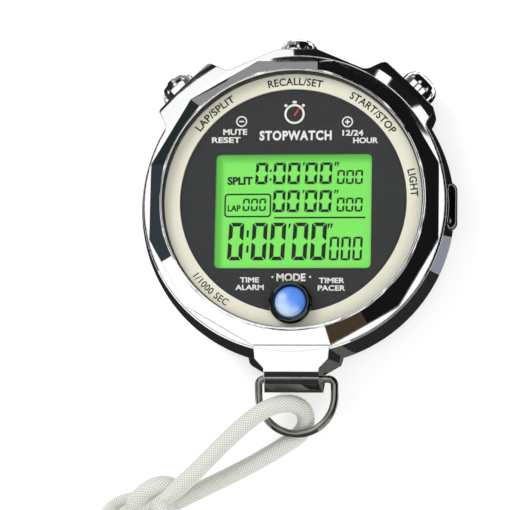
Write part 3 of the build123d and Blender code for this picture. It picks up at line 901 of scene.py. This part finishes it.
def rounded(x, y, w, h, r, per=6):
    """Outline of a rounded rectangle, anticlockwise."""
    points = []
    for cx, cy, start in (
        (w / 2 - r, h / 2 - r, 0),
        (r - w / 2, h / 2 - r, 90),
        (r - w / 2, r - h / 2, 180),
        (w / 2 - r, r - h / 2, 270),
    ):
        for k in range(per + 1):
            a = math.radians(start + 90 * k / per)
            points.append((x + cx + r * math.cos(a), y + cy + r * math.sin(a)))
    return points


print_ring()
print_dial()
draw_display()


# ---- window -----------------------------------------------------------

GLASS_R = 27.08
GLASS_LOW = 15.3
MODE_HOLE_R = 3.95


def make_window():
    """Clear disc with a soft edge and the hole for the front button."""
    bm = bmesh.new()
    count = 128
    profile = [(GLASS_R, GLASS_LOW), (GLASS_R, GLASS_TOP - 0.25), (GLASS_R - 0.25, GLASS_TOP)]
    rings = []
    for r, z in profile:
        rings.append([bm.verts.new((x * MM, y * MM, z * MM)) for x, y in circle(r, count=count)])
    for low, high in zip(rings, rings[1:]):
        for k in range(count):
            m = (k + 1) % count
            bm.faces.new((low[k], low[m], high[m], high[k]))
    hole = circle(MODE_HOLE_R, 0, MODE_Y, 48)
    low_hole = [bm.verts.new((x * MM, y * MM, GLASS_LOW * MM)) for x, y in hole]
    high_hole = [bm.verts.new((x * MM, y * MM, GLASS_TOP * MM)) for x, y in hole]
    for k in range(48):
        m = (k + 1) % 48
        bm.faces.new((low_hole[m], low_hole[k], high_hole[k], high_hole[m]))
    for outer, inner in ((rings[0], low_hole), (rings[-1], high_hole)):
        edges = []
        for loop in (outer, inner):
            for k in range(len(loop)):
                pair = (loop[k], loop[(k + 1) % len(loop)])
                edges.append(bm.edges.get(pair) or bm.edges.new(pair))
        bmesh.ops.triangle_fill(bm, use_beauty=True, use_dissolve=False, edges=edges)
    bmesh.ops.recalc_face_normals(bm, faces=bm.faces)
    mesh = bpy.data.meshes.new("window")
    bm.to_mesh(mesh)
    bm.free()
    mesh.materials.append(GLASS)
    obj = link(bpy.data.objects.new("window", mesh))
    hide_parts("glass")
    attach(obj, "watch")


make_window()


# ---- floor and light --------------------------------------------------

def make_floor():
    mat, tree, shader = new_material("pale_floor")
    noise_between(tree, shader.inputs["Base Color"], (0.60, 0.60, 0.60), (0.62, 0.62, 0.62), 3)
    shader.inputs["Roughness"].default_value = 0.9
    shader.inputs["Specular IOR Level"].default_value = 0.1
    shader.inputs["Emission Color"].default_value = (1, 1, 1, 1)
    shader.inputs["Emission Strength"].default_value = 0.5
    s = 6.0
    corners = [(-s, -s, 0), (s, -s, 0), (s, s, 0), (-s, s, 0)]
    floor = mesh_object("floor", corners, [(0, 1, 2, 3)], mat)


def area(name, place, target, size, power, colour=(1, 1, 1)):
    data = bpy.data.lights.new(name, "AREA")
    data.shape = "RECTANGLE"
    data.size, data.size_y = size
    data.energy = power
    data.color = colour
    obj = link(bpy.data.objects.new(name, data))
    obj.location = place
    obj.rotation_mode = "QUATERNION"
    obj.rotation_quaternion = (Vector(target) - Vector(place)).to_track_quat("-Z", "Y")
    return obj


make_floor()


def glow_material(name, colour, strength):
    mat = bpy.data.materials.new(name)
    mat.use_nodes = True
    tree = mat.node_tree
    tree.nodes.clear()
    out = tree.nodes.new("ShaderNodeOutputMaterial")
    glow = tree.nodes.new("ShaderNodeEmission")
    glow.inputs["Color"].default_value = (*colour, 1)
    glow.inputs["Strength"].default_value = strength
    tree.links.new(glow.outputs[0], out.inputs["Surface"])
    return mat


def gloss_only(obj):
    """Seen in mirror-like surfaces only, as a studio card is."""
    obj.visible_camera = False
    obj.visible_diffuse = False
    obj.visible_shadow = False
    obj.visible_transmission = False
    obj.visible_volume_scatter = False


def wall_card(name, start, end, tone, low=0.0, high=24.0, radius=64.0, colour=(1, 1, 1)):
    """Upright card on a circle round the watch, between two azimuths."""
    steps = max(2, int(abs(end - start) / 6))
    verts, faces = [], []
    for k in range(steps + 1):
        a = math.radians(start + (end - start) * k / steps)
        for z in (low, high):
            verts.append((radius * math.cos(a) * MM, radius * math.sin(a) * MM, z * MM))
    for k in range(steps):
        faces.append((2 * k, 2 * k + 2, 2 * k + 3, 2 * k + 1))
    card = mesh_object(name, verts, faces, glow_material(name, colour, tone))
    gloss_only(card)


def flat_card(name, points, tone, colour=(1, 1, 1), z=0.05):
    """Level card: lying on the floor, or held high above the watch."""
    verts = [(x * MM, y * MM, z * MM) for x, y in points]
    card = mesh_object(name, verts, [tuple(range(len(points)))], glow_material(name, colour, tone))
    gloss_only(card)


def sector(inner, outer, start, end, steps=10):
    """Outline of a ring sector on the floor round the watch."""
    turns = [math.radians(start + (end - start) * k / steps) for k in range(steps + 1)]
    far = [(outer * math.cos(a), outer * math.sin(a)) for a in turns]
    near = [(inner * math.cos(a), inner * math.sin(a)) for a in reversed(turns)]
    return far + near


# Cards at the height of the bezel's facets.
wall_card("card_white_low", 200.5, 292, 1.1)
wall_card("card_brown", 292, 301, 0.06, colour=(1.0, 0.7, 0.4))
wall_card("card_black_right", 301, 449, 0.008, high=46)
wall_card("card_grey_top", 89, 134, 0.28, high=12)
wall_card("card_teal_upper", 134, 160, 0.028, high=13, colour=(0.75, 1.0, 1.05))
wall_card("band_upper", 96, 160, 0.02, low=13, high=37)
wall_card("card_white_upper", 96, 160, 1.0, low=37, high=90)
wall_card("card_teal_left", 160, 200.5, 0.045, colour=(0.75, 1.0, 1.1))
wall_card("card_lug", 262, 277, 0.15, high=11.8, radius=50, colour=(1.0, 0.99, 0.9))
# Darker band above them, which draws the line round the rounded edges.
wall_card("band_top", 89, 96, 0.10, low=12, high=46)
wall_card("band_left", 160, 301, 0.025, low=24, high=50)
# Cards on the floor, seen in the upper facets and in the upright walls.
flat_card("floor_grey_top", sector(50, 66, 89, 134), 0.28)
flat_card("floor_teal_upper", sector(50, 66, 134, 160), 0.028, (0.75, 1.0, 1.05))
flat_card("floor_dark", sector(28, 44, -80, -24), 0.022, (0.95, 1.0, 1.1))
flat_card("floor_grey", sector(28, 41, -24, -9), 0.30, (0.9, 0.92, 1.1))
flat_card("floor_black", sector(28, 44, -9, 100), 0.01)
flat_card("floor_left", sector(28, 41.5, 100, 262, 24), 0.02)
BELOW_LUG = [(-9, -52), (13, -52), (13, -30), (7, -30), (7, -39), (-9, -39)]
flat_card("floor_lug", BELOW_LUG, 0.10, (1.0, 0.98, 0.88), 0.06)
# Overhead: a broad white card, dark ones towards the upper right, and two
# white spots in front of those.
WHOLE_SKY = [(-1500, -1500), (1500, -1500), (1500, 1500), (-1500, 1500)]
DARK_SKY = [
    (-100, 330), (20, 230), (100, 215), (165, 20),
    (170, -60), (900, -300), (900, 900), (-120, 900),
]
DARK_ARC = [(-62, 146), (-62, 190), (20, 190), (70, 150), (8, 122), (-14, 134), (-34, 144)]
SMALL_SPOT = [(66, 305), (88, 300), (94, 322), (72, 330)]
BROAD_SPOT = [(118, 222), (175, 190), (190, 215), (165, 255), (128, 262)]
flat_card("sky_white", WHOLE_SKY, 1.12, z=520)
flat_card("sky_black", DARK_SKY, 0.01, z=500)
flat_card("sky_arc", DARK_ARC, 0.01, z=500)
flat_card("sky_spot", SMALL_SPOT, 1.1, z=498)
flat_card("sky_blob", BROAD_SPOT, 1.1, z=498)


area("key_soft", (-0.50, 0.42, 0.62), (0, -0.02, 0), (0.4, 0.4), 3.6)
fill = area("fill_soft", (0.42, -0.48, 0.55), (0, -0.02, 0), (0.5, 0.5), 2.3)
fill.visible_glossy = False
world = bpy.data.worlds.new("studio")
world.use_nodes = True
world.node_tree.nodes["Background"].inputs["Color"].default_value = (1, 1, 1, 1)
world.node_tree.nodes["Background"].inputs["Strength"].default_value = 0.70
bpy.context.scene.world = world
bpy.context.scene.view_settings.view_transform = "Standard"
